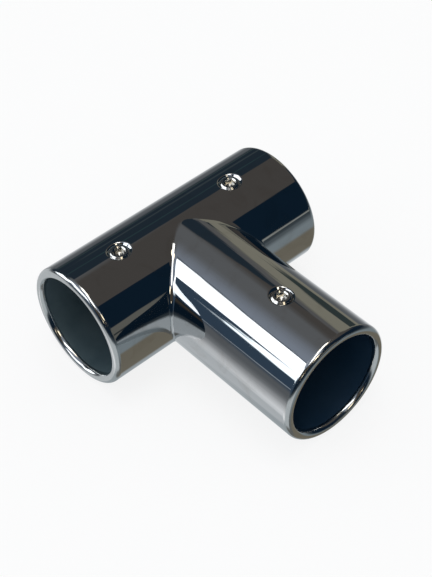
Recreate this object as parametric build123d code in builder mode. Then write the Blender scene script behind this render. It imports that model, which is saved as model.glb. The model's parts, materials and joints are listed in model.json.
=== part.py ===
from build123d import *
import os

# Cast tee that joins three tubes of a hand rail, with a set screw in each of its three sockets.
# The tee lies as it comes to rest: the tubes' axes are level and the screws are on top.
# X runs along the through tube, the branch points to -Y and Z is up.
# The origin is on the surface under the tee, below the middle of the box around it.
# All sizes are millimetres.

# The rail, and the room around it in a socket
rail_diameter = 25.4
rail_clearance = 0.1

# Walls around the sockets: the branch is a little slimmer, so the run's crown stays whole
run_wall = 2.6
branch_wall = 2.45

# Reach of the three arms, and how far a rail goes into each socket
run_length = 63.5
branch_reach = 53.6
run_socket_depth = 18.5
branch_socket_depth = 30.0

# Ledge inside each socket that stops the rail: the cored passage is this much narrower
stop_ledge = 1.4

# Rounded rim and chamfered lip of each mouth, and the round where run and branch meet outside
rim_round = 1.4
lip_width = 0.95
lip_depth = 1.5
seam_round = 1.2

# Tapped holes: distance from each mouth, and the countersink over the thread
run_screw_inset = 14.65
branch_screw_inset = 17.9
thread_diameter = 5.0
countersink_diameter = 6.1
countersink_angle = 90

# Set screws: the running clearance in the thread, the hexagon socket and the chamfer around it
thread_clearance = 0.05
screw_length = 2.5
socket_across_flats = 2.5
socket_depth = 1.4
head_chamfer = 0.45

# Radii and places that follow
bore_radius = rail_diameter / 2 + rail_clearance
run_radius = bore_radius + run_wall
branch_radius = bore_radius + branch_wall
passage_radius = bore_radius - stop_ledge
tap_radius = thread_diameter / 2
screw_radius = tap_radius - thread_clearance
half_run = run_length / 2
axis_height = run_radius
run_axis_y = (branch_reach - run_radius) / 2
branch_mouth_y = run_axis_y - branch_reach

# Planes of the three mouths, each facing out of its socket
centre = Vector(0, run_axis_y, axis_height)
left_mouth = Plane(origin=centre - Vector(half_run, 0, 0), x_dir=(0, 1, 0), z_dir=(-1, 0, 0))
right_mouth = Plane(origin=centre + Vector(half_run, 0, 0), x_dir=(0, 1, 0), z_dir=(1, 0, 0))
branch_mouth = Plane(origin=centre - Vector(0, branch_reach, 0), x_dir=(1, 0, 0), z_dir=(0, -1, 0))

# Each tapped hole stands over its tube's axis: node name, X, Y and the tube's outer radius
screw_seats = {
    "run_set_screw_left": (-half_run + run_screw_inset, run_axis_y, run_radius),
    "run_set_screw_right": (half_run - run_screw_inset, run_axis_y, run_radius),
    "branch_set_screw": (0, branch_mouth_y + branch_screw_inset, branch_radius),
}

# A screw's tip just meets a rail that fills its socket
screw_top = axis_height + rail_diameter / 2 + screw_length

os.makedirs("parts", exist_ok=True)

# The cast tee
with BuildPart() as tee_body:
    # Outside: the run and the branch, drawn back from their mouths
    with BuildSketch(left_mouth):
        Circle(run_radius)
    extrude(amount=-run_length)
    with BuildSketch(branch_mouth):
        Circle(branch_radius)
    extrude(amount=-branch_reach)

    # Rounded rims, then the concave round along the seam: the one outside edge that is no circle
    fillet(tee_body.edges().filter_by(GeomType.CIRCLE), rim_round)
    seam = tee_body.edges().filter_by(lambda edge: edge.geom_type not in (GeomType.CIRCLE, GeomType.LINE))
    fillet(seam, seam_round)

    # Sockets, each with a ledge where the narrower cored passage begins
    for mouth, depth, reach in (
        (left_mouth, run_socket_depth, half_run),
        (right_mouth, run_socket_depth, half_run),
        (branch_mouth, branch_socket_depth, branch_reach),
    ):
        with Locations(mouth.location):
            CounterBoreHole(
                radius=passage_radius,
                counter_bore_radius=bore_radius,
                counter_bore_depth=depth,
                depth=reach,
            )

    # Chamfered lips, which lead the rails in
    for mouth in (left_mouth, right_mouth, branch_mouth):
        rim = tee_body.faces().sort_by(Axis(mouth.origin, mouth.z_dir))[-1]
        lip = rim.edges().sort_by(SortBy.RADIUS)[0]
        chamfer(lip, length=lip_width, length2=lip_depth, reference=rim)

    # Tapped holes, countersunk from the crown of each tube
    for seat_x, seat_y, tube_radius in screw_seats.values():
        with Locations((seat_x, seat_y, axis_height + tube_radius)):
            CounterSinkHole(
                radius=tap_radius,
                counter_sink_radius=countersink_diameter / 2,
                counter_sink_angle=countersink_angle,
                depth=tube_radius,
            )

tee_body.part.label = "tee_body"
export_step(tee_body.part, "parts/tee_body.step")

# The three set screws: hexagon socket on top, flat point below
for name, (seat_x, seat_y, tube_radius) in screw_seats.items():
    head = Plane(origin=(seat_x, seat_y, screw_top))
    with BuildPart() as set_screw:
        with BuildSketch(head):
            Circle(screw_radius)
        extrude(amount=-screw_length)
        chamfer(set_screw.edges().group_by(Axis.Z)[-1], head_chamfer)
        with BuildSketch(head):
            RegularPolygon(socket_across_flats / 2, 6, major_radius=False)
        extrude(amount=-socket_depth, mode=Mode.SUBTRACT)

    set_screw.part.label = name
    export_step(set_screw.part, f"parts/{name}.step")
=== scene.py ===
import json
import math

import bpy
import numpy as np
from mathutils import Matrix, Vector


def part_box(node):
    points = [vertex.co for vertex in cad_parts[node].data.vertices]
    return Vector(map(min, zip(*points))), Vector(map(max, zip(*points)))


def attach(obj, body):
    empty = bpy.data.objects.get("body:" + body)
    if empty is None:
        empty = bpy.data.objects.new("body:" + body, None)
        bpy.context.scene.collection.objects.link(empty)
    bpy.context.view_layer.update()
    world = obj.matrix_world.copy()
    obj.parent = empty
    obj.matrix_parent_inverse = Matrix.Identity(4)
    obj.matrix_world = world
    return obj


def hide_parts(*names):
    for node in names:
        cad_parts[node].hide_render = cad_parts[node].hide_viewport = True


# Polished cast tee for hand-rail tube, with a set screw in each of its three sockets.
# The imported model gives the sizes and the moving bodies, and this script dresses it.
# Lengths are metres, angles are radians, +Z is up and the branch points to -Y.

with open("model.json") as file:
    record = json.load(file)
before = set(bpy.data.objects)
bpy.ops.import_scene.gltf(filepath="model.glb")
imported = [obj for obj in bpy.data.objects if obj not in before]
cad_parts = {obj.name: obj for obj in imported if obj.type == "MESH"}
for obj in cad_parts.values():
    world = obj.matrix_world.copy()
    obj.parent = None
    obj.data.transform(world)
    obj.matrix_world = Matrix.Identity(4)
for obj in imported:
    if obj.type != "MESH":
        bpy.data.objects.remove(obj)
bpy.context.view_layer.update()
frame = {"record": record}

MM = 0.001

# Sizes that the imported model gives
tee_low, tee_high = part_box("tee_body")
mounts = {mount["name"]: mount for mount in frame["record"]["mounts"]}
bore_radius = mounts["branch_socket"]["dims"]["r_mm"] * MM
run_radius = (tee_high.z - tee_low.z) / 2
half_run = tee_high.x
run_axis_y = tee_high.y - run_radius
branch_reach = run_axis_y - tee_low.y
crossing = np.array([0.0, run_axis_y, run_radius])

# Sizes of the casting that its box doesn't give
branch_radius = bore_radius + 2.45 * MM
rim_round = 1.4 * MM
lip_width = 0.95 * MM
lip_depth = 1.5 * MM
seam_round = 1.2 * MM

# Seam round in shares of that: on the flanks, more on the crown, less underneath, and the crown's width
flank_share = 1.55
crown_share = 6.9
under_share = 1.05
crown_width = 0.16

# Sockets and the passage behind them
run_socket_depth = 18.5 * MM
branch_socket_depth = 30.0 * MM
passage_radius = bore_radius - 1.4 * MM

# Tapped holes and set screws, and the share of a thread's length in which it runs out
thread_radius = 2.5 * MM
thread_pitch = 0.8 * MM
thread_depth = 0.43 * MM
thread_runout = 0.12
countersink_radius = 3.05 * MM
countersink_edge = 0.2 * MM
screw_chamfer = 0.45 * MM
hexagon = 2.5 * MM
hexagon_depth = 1.4 * MM
entry_radius = 1.56 * MM
drill_radius = 1.06 * MM
drill_depth = 0.3 * MM

# Half sizes of the block of quads that a screw's hole takes the place of, outside and in the bore
hole_half_turn = math.radians(15.0)
outer_hole_reach = 4.0 * MM
inner_hole_reach = 3.1 * MM

# How finely the surfaces are divided
seam_columns = 144
back_columns = 150
hole_rows = 14
thread_rows = 12
screw_columns = 96

# Material slots of the tee
OUTSIDE = 0
INSIDE = 1
RIM = 2

UP = np.array([0.0, 0.0, 1.0])


def smooth(low, high, value):
    """A smooth step: 0 up to low, 1 from high on, 3t² - 2t³ in between."""
    t = np.clip((value - low) / (high - low), 0, 1)
    return t * t * (3 - 2 * t)


def between(start, end, t):
    """start + (end - start) * t, where t has one more axis in front or behind."""
    return start + (end - start) * t


def unit(vectors):
    """The vectors with each made one long."""
    return vectors / np.linalg.norm(vectors, axis=-1, keepdims=True)


class Arm:
    """One arm of the tee: its axis runs out from the crossing, and angles turn from its top to its side."""

    def __init__(self, out, side, radius, reach, socket_depth, screw_node):
        self.out = np.array(out, float)
        self.side = np.array(side, float)
        self.radius = radius
        self.reach = reach
        self.socket_depth = socket_depth
        self.screw_node = screw_node
        low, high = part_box(screw_node)
        self.screw = np.array([(low.x + high.x) / 2, (low.y + high.y) / 2, high.z])
        self.screw_reach = float((self.screw - crossing) @ self.out)

    def across(self, angle):
        """Unit vectors across the axis: cos(angle) up and sin(angle) to the side."""
        return np.cos(angle)[..., None] * UP + np.sin(angle)[..., None] * self.side

    def tube(self, reach, radius, angle):
        """Points at a reach along the axis and a radius across it."""
        reach, radius, angle = np.broadcast_arrays(reach, radius, angle)
        return crossing + reach[..., None] * self.out + radius[..., None] * self.across(angle)

    def tube_normals(self, along, outward, angle):
        """Normals with one part along the axis and one across it."""
        along, outward, angle = np.broadcast_arrays(along, outward, angle)
        return unit(along[..., None] * self.out + outward[..., None] * self.across(angle))

    def over(self, plan, radius):
        """Points of the tube above a plan of (reach, sideways): height is sqrt(radius² - sideways²)."""
        height = np.sqrt(radius**2 - plan[..., 1] ** 2)
        across = plan[..., 1:] * self.side + height[..., None] * UP
        return crossing + plan[..., :1] * self.out + across, unit(across)


left_arm = Arm((-1, 0, 0), (0, -1, 0), run_radius, half_run, run_socket_depth, "run_set_screw_left")
right_arm = Arm((1, 0, 0), (0, -1, 0), run_radius, half_run, run_socket_depth, "run_set_screw_right")
branch_arm = Arm(
    (0, -1, 0), (1, 0, 0), branch_radius, branch_reach, branch_socket_depth, "branch_set_screw"
)


class Shell:
    """Surfaces that make one closed piece: grids of points with the exact normals of their formulas."""

    def __init__(self):
        self.points = []
        self.normals = []
        self.quads = []
        self.materials = []
        self.count = 0

    def add(self, points, normals, material=0, left_out=None):
        """Adds a grid's quads, without those where left_out is true."""
        rows, columns = points.shape[:2]
        index = np.arange(rows * columns).reshape(rows, columns) + self.count
        quads = np.stack([index[:-1, :-1], index[1:, :-1], index[1:, 1:], index[:-1, 1:]], -1)
        quads = quads.reshape(-1, 4) if left_out is None else quads[~left_out]
        self.points.append(points.reshape(-1, 3))
        self.normals.append(np.broadcast_to(normals, points.shape).reshape(-1, 3))
        self.quads.append(quads)
        self.materials.append(np.full(len(quads), material))
        self.count += rows * columns

    def build(self, name, materials):
        """Turns each face to agree with its normals, welds points that coincide, and makes the object."""
        points = np.concatenate(self.points)
        normals = np.concatenate(self.normals)
        quads = np.concatenate(self.quads)
        slots = np.concatenate(self.materials)

        corners = points[quads]
        facing = np.cross(corners[:, 2] - corners[:, 0], corners[:, 3] - corners[:, 1])
        backward = (facing * normals[quads].sum(1)).sum(1) < 0
        quads[backward] = quads[backward, ::-1]

        weld_step = 1e-7
        weld_shift = 0.3137
        keys = np.round(points / weld_step + weld_shift).astype(np.int64)
        _, first, welded = np.unique(keys, axis=0, return_index=True, return_inverse=True)
        corner_ids = welded.reshape(-1)[quads]

        # Quads whose side has shrunk to a point become triangles, and those with less are dropped
        shrunk = corner_ids == np.roll(corner_ids, -1, axis=1)
        whole = ~shrunk.any(1)
        faces = [corner_ids[whole]]
        loops = [quads[whole]]
        face_slots = [slots[whole]]
        for side in range(4):
            pointed = shrunk[:, side] & (shrunk.sum(1) == 1)
            kept = [corner for corner in range(4) if corner != side]
            faces.append(corner_ids[pointed][:, kept])
            loops.append(quads[pointed][:, kept])
            face_slots.append(slots[pointed])

        mesh = bpy.data.meshes.new(name)
        mesh.from_pydata(points[first], [], [face for group in faces for face in group.tolist()])
        mesh.polygons.foreach_set("use_smooth", np.ones(len(mesh.polygons), bool))
        mesh.polygons.foreach_set("material_index", np.concatenate(face_slots).astype(np.int32))
        for material in materials:
            mesh.materials.append(material)
        mesh.update()
        corner_normals = normals[np.concatenate([group.reshape(-1) for group in loops])]
        mesh.normals_split_custom_set(corner_normals)
        piece = bpy.data.objects.new(name, mesh)
        bpy.context.scene.collection.objects.link(piece)
        return piece


def seam_ball_radius(angle):
    """The seam's round at an angle from the top of the branch, a little uneven as hand polishing leaves it.

    It is widest over the crown, where the wheel blends two tubes that nearly meet flush, and narrow below.
    """
    crown = np.exp(-((np.sin(angle / 2) / crown_width) ** 2))
    under = smooth(math.radians(48), math.radians(85), np.abs(angle))
    uneven = 0.07 * np.sin(3 * angle + 0.8) + 0.08 * np.sin(11 * angle + 2.1) + 0.06 * np.sin(23 * angle)
    return seam_round * (flank_share + crown_share * crown - under_share * under) * (1 + uneven)


def seam_balls(angle):
    """Centres of the ball that rolls along the seam, touching both tubes from outside, and its radius.

    Across the branch the centre is at branch radius + ball radius, at the angle.
    Its distance from the run's axis is run radius + ball radius, which gives its reach.
    """
    ball = seam_ball_radius(angle)
    x = (branch_radius + ball) * np.sin(angle)
    z = (branch_radius + ball) * np.cos(angle)
    y = -np.sqrt((run_radius + ball) ** 2 - z**2)
    return np.stack([x, y, z], -1), ball


def seam_surface(angle, rows):
    """The seam's concave round: on each ball, the arc between where it touches the run and the branch."""
    centres, ball = seam_balls(angle)
    to_run = -centres * (0, 1, 1) / (run_radius + ball)[:, None]
    to_branch = -centres * (1, 0, 1) / (branch_radius + ball)[:, None]
    turn = np.arccos(np.clip((to_run * to_branch).sum(-1), -1, 1))
    t = np.linspace(0, 1, rows)[:, None]
    spokes = np.sin((1 - t) * turn)[..., None] * to_run + np.sin(t * turn)[..., None] * to_branch
    spokes = unit(spokes)
    return crossing + centres + ball[:, None] * spokes, -spokes


def run_columns(sign):
    """Angles of a run arm's columns outside and inside: sign is -1 for the left arm, 1 for the right.

    The front columns meet the seam's balls one by one, and the back ones share out the rest.
    Inside, where the two passages have the same radius, they meet at reach = radius * sin(angle).
    """
    inner_front = np.linspace(0, math.pi, seam_columns + 1)
    centres, _ = seam_balls(sign * inner_front)
    outer_front = np.arctan2(-centres[:, 1], centres[:, 2])
    outer_back = np.linspace(outer_front[-1], 2 * math.pi + outer_front[0], back_columns + 1)
    inner_back = np.linspace(math.pi, 2 * math.pi, back_columns + 1)
    outer = np.concatenate([outer_back, 2 * math.pi + outer_front[1:]])
    inner = np.concatenate([inner_back, 2 * math.pi + inner_front[1:]])
    return outer, inner


def run_junction(sign):
    """Reach at which a run arm's outside meets the seam, or the other arm: 0 along the back."""
    front, _ = seam_balls(sign * np.linspace(0, math.pi, seam_columns + 1))
    return np.concatenate([np.zeros(back_columns), np.abs(front[:, 0])])


def rim_profile(arm):
    """The rim from the tube's outside to its bore: rows of (reach, radius, normal along, normal outward).

    A quarter circle outside, the narrow flat face, and the rolled lip, which runs into both its neighbours:
    the cubic (1 - t)³ a + 3t(1 - t)² b + 3t²(1 - t) c + t³ d.
    """
    turn = np.linspace(0, math.pi / 2, 13)[:, None]
    across = np.hstack([np.sin(turn), np.cos(turn)])
    shoulder = np.array([arm.reach - rim_round, arm.radius - rim_round])
    outside = np.hstack([shoulder + rim_round * across, across])
    t = np.linspace(0, 1, 13)[:, None]
    a = np.array([arm.reach, bore_radius + lip_width])
    b = a - (0, lip_width * 0.55)
    d = np.array([arm.reach - lip_depth, bore_radius])
    c = d + (lip_depth * 0.5, 0)
    lip = (1 - t) ** 3 * a + 3 * t * (1 - t) ** 2 * b + 3 * t**2 * (1 - t) * c + t**3 * d
    along = (1 - t) ** 2 * (b - a) + 2 * t * (1 - t) * (c - b) + t**2 * (d - c)
    return np.vstack([outside, np.hstack([lip, -along[:, 1:], along[:, :1]])])


def block_rows(low, high, start, end, counts):
    """Rows that pass through start, low, high and end, with the given number of steps in each span."""
    spans = []
    for first, last, steps in zip((start, low, high), (low, high, end), counts):
        t = np.arange(steps)[:, None] / steps
        spans.append(between(first, last, t))
    spans.append(np.broadcast_to(end, spans[0][:1].shape))
    return np.concatenate(spans)


def perimeter(grid, rows, columns):
    """The points round a block of a grid, closed."""
    (r0, r1), (c0, c1) = rows, columns
    there = [grid[r0, c0:c1], grid[r0:r1, c1]]
    and_back = [grid[r1, c1:c0:-1], grid[r1:r0:-1, c0], grid[r0, c0 : c0 + 1]]
    return np.concatenate(there + and_back)


def plan_of(arm, points):
    """Plan of points seen from above: (reach, sideways)."""
    local = points - crossing
    return np.stack([local @ arm.out, local @ arm.side], -1)


def polar_patch(arm, edge_plan, edge_radii, radius, rings):
    """Fills from the hole's edge to the block's perimeter, along straight lines in plan, on the tube."""
    centre = np.array([arm.screw_reach, 0.0])
    spoke = edge_plan - centre
    distance = np.linalg.norm(spoke, axis=-1)
    t = np.linspace(0, 1, rings)[:, None] ** 1.3
    plan = centre + (between(edge_radii, distance, t) / distance)[..., None] * spoke
    return arm.over(plan, radius)


def thread_shape(phase):
    """Height of a thread, 0 at its root and 1 at its crest: flat crest, straight flanks, flat root."""
    crest = 1 / 16
    flank = 0.3125
    away = np.abs((phase + 0.5) % 1 - 0.5)
    return np.clip(1 - (away - crest) / flank, 0, 1)


def thread_held(t):
    """1 along a thread, falling to 0 over its run-out at both ends, where t is 0 and 1."""
    return smooth(0, thread_runout, t) * smooth(0, thread_runout, 1 - t)


def thread_phase(centre, points):
    """Turns of a right-hand thread at points round an axis: height / pitch - angle / full turn."""
    angle = np.arctan2(points[..., 1] - centre[1], points[..., 0] - centre[0])
    return points[..., 2] / thread_pitch - angle / (2 * math.pi)


def add_holed_tube(shell, arm, angles, columns, reach, first_row, radius, outward, slot):
    """Adds a tube without the block of quads round the arm's screw, and gives the block's plan."""
    points = arm.tube(reach, radius, angles)
    rows = (first_row, first_row + hole_rows)
    left_out = np.zeros((points.shape[0] - 1, points.shape[1] - 1), bool)
    left_out[rows[0] : rows[1], columns[0] : columns[1]] = True
    shell.add(points, arm.tube_normals(0.0, outward, angles), slot, left_out)
    return plan_of(arm, perimeter(points, rows, columns))


def add_hole(shell, arm, outer_plan, inner_plan):
    """The tapped hole of an arm, from its soft countersunk edge down to the bore."""
    centre = np.array([arm.screw_reach, 0.0])
    outer_way = unit(outer_plan - centre)
    inner_way = unit(inner_plan - centre)
    crown = arm.radius

    # The cone falls from the crown as its radius shrinks, and meets the tube where both heights agree
    edge = np.full(len(outer_way), countersink_radius)
    for _ in range(8):
        edge = countersink_radius - (crown - np.sqrt(crown**2 - (edge * outer_way[:, 1]) ** 2))
    patch, patch_normals = polar_patch(arm, outer_plan, edge + countersink_edge, arm.radius, 7)
    shell.add(patch, patch_normals)

    def lift(way, radius, height):
        plan = centre + radius[..., None] * way
        return crossing + plan[..., :1] * arm.out + plan[..., 1:] * arm.side + height[..., None] * UP

    # Soft edge: a parabola from the tube to the cone
    half = math.sqrt(0.5)
    corner_height = np.sqrt(crown**2 - (edge * outer_way[:, 1]) ** 2)
    corner = lift(outer_way, edge, corner_height)
    on_cone = lift(outer_way, edge - half * countersink_edge, corner_height - half * countersink_edge)
    inward = -(outer_way[:, :1] * arm.out + outer_way[:, 1:] * arm.side)
    cone_normal = half * (inward + UP)
    t = np.linspace(0, 1, 6)[:, None, None]
    soft = (1 - t) ** 2 * patch[0] + 2 * t * (1 - t) * corner + t**2 * on_cone
    shell.add(soft, unit(between(patch_normals[0], cone_normal, t)))

    # Cone down to the thread
    cone_foot = crown - (countersink_radius - thread_radius)
    foot = lift(outer_way, np.full(len(edge), thread_radius), np.full(len(edge), cone_foot))
    t = np.linspace(0, 1, 4)[:, None, None]
    shell.add(between(on_cone, foot, t), cone_normal)

    # Threaded wall down to the bore, its columns turning from the outer plan's to the inner plan's
    bore_edge = np.full(len(edge), thread_radius)
    patch, patch_normals = polar_patch(arm, inner_plan, bore_edge, bore_radius, 4)
    shell.add(patch, -patch_normals, INSIDE)
    inner_height = np.sqrt(bore_radius**2 - (bore_edge * inner_way[:, 1]) ** 2)
    rows = int(thread_rows * (crown - bore_radius) / thread_pitch)
    t = np.linspace(0, 1, rows)[:, None]
    way = unit(between(outer_way, inner_way, t[..., None]))
    height = between(cone_foot, inner_height, t)
    wall = lift(way, np.full(height.shape, thread_radius), height)
    cut = 1 - thread_shape(thread_phase(arm.screw, wall))
    wall = lift(way, thread_radius - thread_depth * thread_held(t) * cut, height)
    slope = np.gradient(np.linalg.norm(plan_of(arm, wall) - centre, axis=-1), axis=0)
    drop = np.gradient(wall[..., 2], axis=0)
    tilt = (slope / drop)[..., None]
    wall_normals = unit(-(way[..., :1] * arm.out + way[..., 1:] * arm.side) + tilt * UP)
    shell.add(wall, wall_normals, INSIDE)


def add_arm(shell, arm, outer, inner, junction, inner_junction):
    """One arm: outside with the screw's hole, rim, bore, ledge, and the passage to the crossing."""

    def from_angle(angle):
        """How far round the tube each column is from an angle, either way."""
        return np.abs((outer - angle + math.pi) % (2 * math.pi) - math.pi)

    columns = tuple(int(np.argmin(from_angle(side * hole_half_turn))) for side in (-1, 1))

    # Outside: rows that are straight past the hole and share out the length elsewhere
    end = arm.reach - rim_round
    straight = 1 - smooth(math.radians(18), math.radians(70), from_angle(0.0))
    low = between(between(junction, end, 0.35), arm.screw_reach - outer_hole_reach, straight)
    high = between(between(junction, end, 0.65), arm.screw_reach + outer_hole_reach, straight)
    counts = (10, hole_rows, 7)
    reach = block_rows(low, high, junction, np.full(len(outer), end), counts)
    outer_plan = add_holed_tube(shell, arm, outer, columns, reach, counts[0], arm.radius, 1.0, OUTSIDE)

    # Rim
    profile = rim_profile(arm)[..., None]
    rim = arm.tube(profile[:, 0], profile[:, 1], outer)
    shell.add(rim, arm.tube_normals(profile[:, 2], profile[:, 3], outer), RIM)

    # Bore, with the same hole
    start = arm.reach - arm.socket_depth
    flat = np.ones(len(outer))
    low = flat * (arm.screw_reach - inner_hole_reach)
    high = flat * (arm.screw_reach + inner_hole_reach)
    counts = (3, hole_rows, 5)
    reach = block_rows(low, high, flat * start, flat * profile[-1, 0], counts)
    inner_plan = add_holed_tube(shell, arm, outer, columns, reach, counts[0], bore_radius, -1.0, INSIDE)
    add_hole(shell, arm, outer_plan, inner_plan)

    # Ledge, and the passage, whose columns turn to meet the other passages'
    t = np.linspace(0, 1, 3)[:, None]
    ledge = arm.tube(start, between(bore_radius, passage_radius, t), outer)
    shell.add(ledge, arm.tube_normals(1.0, 0.0, outer), INSIDE)
    t = np.linspace(0, 1, 9)[:, None]
    angle = between(outer, inner, t)
    passage = arm.tube(between(start, inner_junction, t), passage_radius, angle)
    shell.add(passage, arm.tube_normals(0.0, -1.0, angle), INSIDE)


def make_tee(materials):
    """The cast tee: three arms and the round along their seam."""
    shell = Shell()
    for sign, arm in ((-1, left_arm), (1, right_arm)):
        outer, inner = run_columns(sign)
        passage_meets = passage_radius * np.clip(np.sin(inner), 0, None)
        add_arm(shell, arm, outer, inner, run_junction(sign), passage_meets)

    angle = np.linspace(-math.pi, math.pi, 2 * seam_columns + 1)
    centres, _ = seam_balls(angle)
    add_arm(shell, branch_arm, angle, angle, -centres[:, 1], passage_radius * np.abs(np.sin(angle)))
    shell.add(*seam_surface(angle, 9))
    return shell.build("cast_tee", materials)


def make_screw(name, arm, material):
    """A set screw: flat point, thread, chamfered ends, and a hexagon socket drilled at its bottom."""
    low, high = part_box(arm.screw_node)
    radius = (high.x - low.x) / 2
    length = high.z - low.z

    shell = Shell()
    angle = np.linspace(0, 2 * math.pi, screw_columns + 1)
    way = np.stack([np.cos(angle), np.sin(angle), 0 * angle], -1)
    foot = np.array([arm.screw[0], arm.screw[1], low.z])
    flat = np.ones(screw_columns + 1)

    def ring(ring_radius, height):
        return foot + (flat * ring_radius)[:, None] * way + (flat * height)[:, None] * UP

    def span(first, last, rows, outward, upward):
        t = np.linspace(0, 1, rows)[:, None, None]
        shell.add(between(ring(*first), ring(*last), t), unit(outward * way + upward * UP))

    def hexagon_radius(turn):
        wrapped = (turn + math.pi / 6) % (math.pi / 3) - math.pi / 6
        return hexagon / 2 / np.cos(wrapped)

    # Flat point and lower chamfer
    span((0, 0), (radius - screw_chamfer, 0), 5, 0, -1)
    span((radius - screw_chamfer, 0), (radius, screw_chamfer), 3, 1, -1)

    # Thread, running out into plain bands at both ends
    rows = int(thread_rows * 1.5 * (length - 2 * screw_chamfer) / thread_pitch)
    t = np.linspace(0, 1, rows)[:, None]
    height = between(screw_chamfer, length - screw_chamfer, t) * flat
    plain = foot + radius * way + height[..., None] * UP
    depth = thread_depth * thread_held(t) * (1 - thread_shape(thread_phase(arm.screw, plain)))
    wall = plain - depth[..., None] * way
    tilt = np.gradient(depth, axis=0) / np.gradient(height, axis=0)
    shell.add(wall, unit(way + tilt[..., None] * UP))

    # Upper chamfer, head, entry cone, hexagon and drilled bottom
    hexagon_edge = hexagon_radius(angle)
    entry_height = length - (entry_radius - hexagon_edge)
    floor = length - hexagon_depth
    span((radius, length - screw_chamfer), (radius - screw_chamfer, length), 3, 1, 1)
    span((radius - screw_chamfer, length), (entry_radius, length), 3, 0, 1)
    span((entry_radius, length), (hexagon_edge, entry_height), 3, -1, 1)
    for first in range(6):
        # Each of the hexagon's walls is flat, with its own normal
        middle = first * math.pi / 3
        turn = np.linspace(middle - math.pi / 6, middle + math.pi / 6, screw_columns // 6 + 1)
        way_here = np.stack([np.cos(turn), np.sin(turn), 0 * turn], -1)
        edge = hexagon_radius(turn - 1e-9 * np.sign(turn - middle))
        top = foot + edge[:, None] * way_here + (length - (entry_radius - edge))[:, None] * UP
        bottom = foot + edge[:, None] * way_here + floor * UP
        t = np.linspace(0, 1, 4)[:, None, None]
        normal = -np.array([math.cos(middle), math.sin(middle), 0.0])
        shell.add(between(top, bottom, t), normal)
    span((hexagon_edge, floor), (drill_radius, floor), 2, 0, 1)
    span((drill_radius, floor), (0, floor - drill_depth), 4, -drill_depth, drill_radius)
    return shell.build(name, [material])


class Signal:
    """A shader socket in an expression: each operator adds the Math node that works it out."""

    def __init__(self, shader, socket):
        self.shader = shader
        self.socket = socket

    def math(self, operation, *values):
        return self.shader.node("Math", {"operation": operation}, dict(enumerate(values)))

    def __add__(self, other):
        return self.math("ADD", self, other)

    def __sub__(self, other):
        return self.math("SUBTRACT", self, other)

    def __rsub__(self, other):
        return self.math("SUBTRACT", other, self)

    def __mul__(self, other):
        return self.math("MULTIPLY", self, other)

    __radd__ = __add__
    __rmul__ = __mul__


class Shader:
    """The nodes of one material or world."""

    def __init__(self, owner):
        owner.use_nodes = True
        self.tree = owner.node_tree
        self.tree.nodes.clear()

    def node(self, kind, settings=None, sockets=None, output=0):
        """Adds a node: its settings first, then its sockets' values or links. Gives one of its outputs."""
        made = self.tree.nodes.new("ShaderNode" + kind)
        for name, value in (settings or {}).items():
            setattr(made, name, value)
        for name, value in (sockets or {}).items():
            if isinstance(value, Signal):
                self.tree.links.new(value.socket, made.inputs[name])
            else:
                made.inputs[name].default_value = value
        return Signal(self, made.outputs[output] if made.outputs else None)

    def noise(self, place, scale, detail, distortion=0.0):
        """Cloudy noise from 0 to 1."""
        sockets = {"Vector": place, "Scale": scale, "Detail": detail, "Distortion": distortion}
        return self.node("TexNoise", None, sockets)

    def mix(self, factor, first, second):
        """A colour between two colours."""
        return self.node("Mix", {"data_type": "RGBA"}, {0: factor, 6: first, 7: second}, output=2)

    def step(self, low, high, value):
        """A smooth step of a value from 0 at low to 1 at high."""
        limits = {"Value": value, "From Min": low, "From Max": high}
        return self.node("MapRange", {"interpolation_type": "SMOOTHSTEP"}, limits)


def colour(red, green, blue):
    """A colour socket's value."""
    return (red, green, blue, 1.0)


def start_material(name):
    """A new material, its nodes, and the Object coordinates that its pattern follows."""
    material = bpy.data.materials.new(name)
    shader = Shader(material)
    return material, shader, shader.node("TexCoord", output="Object")


def finish_material(shader, base, metallic, roughness, height, distance):
    """The surface: its colour, metal, roughness, and a relief of a height times a distance."""
    relief = shader.node("Bump", None, {"Strength": 1.0, "Distance": distance, "Height": height})
    sockets = {"Base Color": base, "Metallic": metallic, "Roughness": roughness, "Normal": relief}
    shader.node("OutputMaterial", None, {"Surface": shader.node("BsdfPrincipled", None, sockets)})


def polished_steel():
    """Mirror-polished cast steel: waves left by the polishing wheel, and smears that dull it a little."""
    material, shader, place = start_material("Polished cast steel")
    haze = shader.step(0.5, 0.75, shader.noise(place, 160.0, 4.0, 1.2))
    waves = shader.noise(place, 85.0, 1.5)
    base = shader.mix(haze, colour(0.66, 0.67, 0.68), colour(0.61, 0.61, 0.61))
    finish_material(shader, base, 1.0, 0.03 + 0.05 * haze, waves, 4e-5)
    return material


def rim_steel():
    """Rims, rounded on a belt: brighter and less sharp than the polished tubes, with fine grain."""
    material, shader, place = start_material("Ground rim steel")
    grain = shader.noise(place, 700.0, 3.0)
    waves = shader.noise(place, 220.0, 2.0)
    base = shader.mix(grain, colour(0.66, 0.67, 0.67), colour(0.74, 0.75, 0.75))
    finish_material(shader, base, 1.0, 0.08 + 0.12 * grain, waves, 3e-5)
    return material


def socket_steel():
    """Inside of the sockets: bored and left unpolished. The colour is painted dark as shade inside the
    sockets. It is darkest and bluest in the branch's deep socket, where the painted shade is tinted navy as
    a painted reflection of the dark room.
    """
    material, shader, place = start_material("Bored socket steel with painted shade")
    grain = shader.noise(place, 120.0, 4.0)
    along = shader.node("SeparateXYZ", None, {0: place}, output="Y")
    # Painted shade: slate towards the mouths, navy deep in the branch's socket
    socket_painted_shade = shader.mix(grain, colour(0.030, 0.062, 0.082), colour(0.105, 0.150, 0.172))
    deep_socket_painted_shade = shader.mix(grain, colour(0.004, 0.026, 0.062), colour(0.013, 0.042, 0.085))
    # Towards -Y, in the branch's deep socket, the darker navy painted shade takes over
    base = shader.mix(shader.step(-8 * MM, 4 * MM, along), deep_socket_painted_shade, socket_painted_shade)
    finish_material(shader, base, 0.3, 0.40 + 0.20 * grain, grain, 2e-5)
    return material


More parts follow.
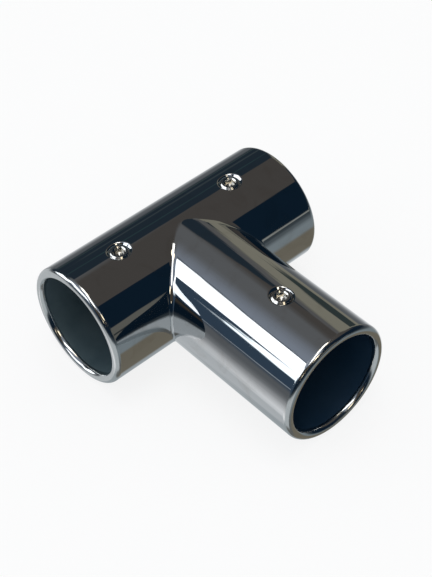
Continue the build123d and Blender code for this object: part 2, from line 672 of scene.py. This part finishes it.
def screw_steel():
    """Machined stainless steel of the set screws."""
    material, shader, place = start_material("Machined screw steel")
    grain = shader.noise(place, 2500.0, 3.0)
    base = shader.mix(grain, colour(0.62, 0.61, 0.58), colour(0.72, 0.71, 0.68))
    finish_material(shader, base, 1.0, 0.14 + 0.10 * grain, grain, 4e-6)
    return material


def make_floor():
    """A pale round table top. Camera rays see it nearly white, with the tee's soft shadow.

    The metal mirrors the lower half of the room in its place, which is laid out like a table by direction.
    """
    middle = Vector((0.056, 0.020, 0.0))
    radius = 0.16
    turn = np.linspace(0, 2 * math.pi, 129)[:-1]
    points = [(middle.x + radius * math.cos(t), middle.y + radius * math.sin(t), 0.0) for t in turn]
    mesh = bpy.data.meshes.new("floor")
    mesh.from_pydata(points, [], [list(range(len(points)))])
    floor = bpy.data.objects.new("floor", mesh)
    bpy.context.scene.collection.objects.link(floor)
    material = bpy.data.materials.new("Pale floor")
    shader = Shader(material)
    rays = shader.node("LightPath", output="Is Camera Ray")
    mirrored = shader.node("LightPath", output="Is Glossy Ray")
    paint = shader.node("BsdfDiffuse", None, {"Color": colour(0.72, 0.74, 0.76)})
    white = shader.node("Emission", None, {"Color": colour(1, 1, 1), "Strength": 1.0})
    clear = shader.node("BsdfTransparent", None, {"Color": colour(1, 1, 1)})
    shown = shader.node("MixShader", None, {0: 0.85 * rays, 1: paint, 2: white})
    surface = shader.node("MixShader", None, {0: mirrored, 1: shown, 2: clear})
    shader.node("OutputMaterial", None, {"Surface": surface})
    mesh.materials.append(material)


def make_world():
    """A plain white studio for the camera and for matt surfaces, and for metal a dim room with a window.

    The room is laid out by direction: azimuth from +Y towards +X, and elevation, both in degrees.
    """
    world = bpy.data.worlds.new("Room")
    bpy.context.scene.world = world
    shader = Shader(world)
    direction = shader.node("TexCoord", output="Generated")
    x, y, z = (shader.node("SeparateXYZ", None, {0: direction}, output=axis) for axis in "XYZ")
    ripple = shader.noise(direction, 9.0, 3.0) - 0.5
    flutter = shader.noise(direction, 23.0, 2.0) - 0.5
    azimuth = x.math("ARCTAN2", x, y) * math.degrees(1) + 5.0 * flutter
    elevation = z.math("ARCSINE", z) * math.degrees(1) + 7.0 * ripple

    def above(low, soft, value=elevation):
        """1 above a border and 0 below it."""
        return shader.step(low - soft, low + soft, value)

    def panel(left, right, low, high, soft):
        """1 inside a stretch of directions, 0 outside it, with soft borders."""
        sides = above(left, soft, azimuth) * (1 - above(right, soft, azimuth))
        ends = above(low, soft) * (1 - above(high, soft))
        return sides * ends

    def spot(to_right, to_back, size):
        """A round lamp near the zenith: 1 inside a disc of directions seen from below."""
        away = shader.node("CombineXYZ", None, {0: x - to_right, 1: y - to_back})
        distance = shader.node("VectorMath", {"operation": "LENGTH"}, {0: away}, output="Value")
        return (1 - shader.step(size * 0.8, size * 1.2, distance)) * shader.step(0, 0.1, z)

    def strip(to_right, to_back, half_length, half_width):
        """A long lamp near the zenith, its length turned between +X and +Y."""
        turn = math.radians(43.7)
        along = (x - to_right) * math.cos(turn) + (y - to_back) * math.sin(turn)
        across = (y - to_back) * math.cos(turn) - (x - to_right) * math.sin(turn)
        ends = 1 - shader.step(half_length * 0.9, half_length, along.math("ABSOLUTE", along))
        sides = 1 - shader.step(half_width * 0.8, half_width, across.math("ABSOLUTE", across))
        return ends * sides * shader.step(0, 0.1, z)

    front = above(90, 12, azimuth) + (1 - above(-90, 12, azimuth))

    # The table below the horizon: bright at the back, where the window lights it, and dull in front, which
    # is painted shade where the tee shadows it. Both are darker straight down, which is painted shade of
    # the tee on the table under it.
    back_table = shader.mix(above(-30, 22), colour(1.0, 1.02, 1.04), colour(0.12, 0.13, 0.14))
    # Painted shadow of the tee: darker straight down behind it
    back_table = shader.mix(above(-54, 9), colour(0.36, 0.40, 0.42), back_table)
    front_table = shader.mix(above(-12, 8), colour(0.22, 0.26, 0.28), colour(0.045, 0.058, 0.068))
    # Painted shadow of the tee: darker still straight down in front
    front_table = shader.mix(above(-44, 12), colour(0.14, 0.145, 0.14), front_table)
    front_table = shader.mix(panel(84, 160, -90, -32, 4), front_table, colour(0.18, 0.165, 0.13))
    front_table = shader.mix(panel(-161, -80, -66, -10, 5), front_table, colour(0.50, 0.54, 0.56))
    back_table = shader.mix(panel(-50, 12, -60, -6, 5), back_table, colour(0.55, 0.58, 0.60))
    table = shader.mix(front, back_table, front_table)

    # Walls, and the ceiling, which is bluer on the window's side and brown on the other
    walls = shader.mix(front, colour(0.018, 0.029, 0.041), colour(0.005, 0.014, 0.027))
    walls = shader.mix(panel(-100, -50, -10, 60, 2), walls, colour(0.038, 0.064, 0.10))
    walls = shader.mix(panel(-158, -104, 24, 70, 3), walls, colour(0.060, 0.051, 0.040))
    ceiling = shader.mix(above(-22, 26, azimuth), colour(0.25, 0.285, 0.345), colour(0.125, 0.13, 0.135))
    ceiling = shader.mix(above(36, 8, azimuth), ceiling, colour(0.072, 0.066, 0.061))
    room = shader.mix(above(0, 4), table, walls)
    back_edge = elevation + 0.35 * azimuth.math("MAXIMUM", azimuth, 35)
    front_edge = elevation - 0.6 * azimuth
    room = shader.mix(above(59.5, 0.9, back_edge) * above(-30, 0.9, front_edge), room, ceiling)

    lights = [
        # Window on the left, its lower pane shorter, and the panes beyond it
        (panel(-49, -16, 8, 29, 1), colour(2.2, 2.3, 2.4)),
        (panel(-92, -36, 29.5, 46, 0.8), colour(2.2, 2.3, 2.4)),
        (panel(-75, -56.5, 18.5, 27.5, 0.8), colour(1.8, 2.0, 2.1)),
        (panel(-75, -57.5, 26, 31, 0.8), colour(1.6, 1.7, 1.8)),
        # Thin lines of frames on the walls
        (panel(-66, -54, 2.0, 3.2, 0.5), colour(0.30, 0.34, 0.38)),
        (panel(24, 36, 14, 17, 1.0), colour(0.045, 0.06, 0.068)),
        (panel(20, 38, 31, 32.5, 0.6), colour(0.030, 0.060, 0.065)),
        (panel(20, 38, 4, 5.5, 0.6), colour(0.055, 0.085, 0.080)),
        (panel(137, 153, -1.5, 1.5, 0.8), colour(0.28, 0.29, 0.27)),
        (panel(153.5, 175, -2, 17, 1.0), colour(0.13, 0.13, 0.115)),
        (panel(153.5, 175, 3, 5, 0.8), colour(0.02, 0.025, 0.03)),
        # Grey reveal and khaki wall on the right
        (panel(50, 54, 22, 44, 1.0), colour(0.11, 0.11, 0.11)),
        (panel(54, 75, -4, 40, 1.2), colour(0.235, 0.225, 0.18)),
        (panel(59.4, 66, 4, 17, 1.0), colour(0.035, 0.048, 0.048)),
        # Warm lamps behind the camera, then a long one and three round ones on the ceiling
        (panel(-175, -160, 37, 47, 1), colour(3.0, 2.6, 1.9)),
        (panel(-137, -132, 23, 27, 1), colour(3.0, 2.6, 1.9)),
        (strip(-0.14, -0.08, 0.46, 0.12), colour(3.2, 3.15, 3.0)),
        (spot(-0.11, 0.17, 0.06), colour(3.4, 3.0, 2.3)),
        (spot(0.18, -0.03, 0.06), colour(3.4, 3.0, 2.3)),
        (spot(-0.08, 0.0, 0.05), colour(3.4, 3.0, 2.3)),
    ]
    for mask, light in lights:
        room = shader.mix(mask, room, light)

    seen = shader.node("Background", None, {"Color": room, "Strength": 1.0})
    plain = shader.node("Background", None, {"Color": colour(0.8, 0.8, 0.8), "Strength": 1.0})
    white = shader.node("Background", None, {"Color": colour(1, 1, 1), "Strength": 1.0})
    matt = shader.node("LightPath", output="Is Diffuse Ray")
    camera = shader.node("LightPath", output="Is Camera Ray")
    lit = shader.node("MixShader", None, {0: matt, 1: seen, 2: plain})
    surface = shader.node("MixShader", None, {0: camera, 1: lit, 2: white})
    shader.node("OutputWorld", None, {"Surface": surface})


def make_camera():
    """The photograph's view: a tilted look down on the tee from the left, from about 34 cm."""
    azimuth = math.radians(-40.353)
    elevation = math.radians(45.821)
    roll = math.radians(-2.256)
    distance = 344.6 * MM
    shift_right = -9.039 * MM
    shift_up = 6.437 * MM
    level_reach = math.cos(elevation)
    back = Vector((math.sin(azimuth) * level_reach, -math.cos(azimuth) * level_reach, math.sin(elevation)))
    level = Vector(UP).cross(back).normalized()
    upright = back.cross(level)
    right = math.cos(roll) * level + math.sin(roll) * upright
    up = math.cos(roll) * upright - math.sin(roll) * level
    place = Vector(crossing) + distance * back - shift_right * right - shift_up * up
    camera = bpy.data.objects.new("camera", bpy.data.cameras.new("camera"))
    camera.data.lens = 89.04
    camera.data.clip_start = 0.01
    camera.data.clip_end = 10
    camera.matrix_world = Matrix.Translation(place) @ Matrix((right, up, back)).transposed().to_4x4()
    bpy.context.scene.collection.objects.link(camera)
    bpy.context.scene.camera = camera


def make_lamp(name, place, size, power):
    """A square soft lamp that looks at the tee and isn't mirrored in it."""
    lamp = bpy.data.objects.new(name, bpy.data.lights.new(name, "AREA"))
    lamp.data.size = size
    lamp.data.energy = power
    lamp.location = place
    lamp.visible_glossy = False
    lamp.rotation_mode = "QUATERNION"
    lamp.rotation_quaternion = (Vector(place) - Vector(crossing)).to_track_quat("Z", "Y")
    bpy.context.scene.collection.objects.link(lamp)


polished = polished_steel()
bored = socket_steel()
ground = rim_steel()
machined = screw_steel()

tee = make_tee([polished, bored, ground])
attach(tee, "tee")
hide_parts("tee_body")

for name, arm, body in (
    ("left_set_screw", left_arm, "left_screw"),
    ("right_set_screw", right_arm, "right_screw"),
    ("branch_set_screw_piece", branch_arm, "branch_screw"),
):
    screw = make_screw(name, arm, machined)
    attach(screw, body)
    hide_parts(arm.screw_node)

make_floor()
make_world()
make_camera()
make_lamp("overhead", (0.0, 0.0, 0.55), 0.25, 0.6)
bpy.context.scene.view_settings.view_transform = "Standard"
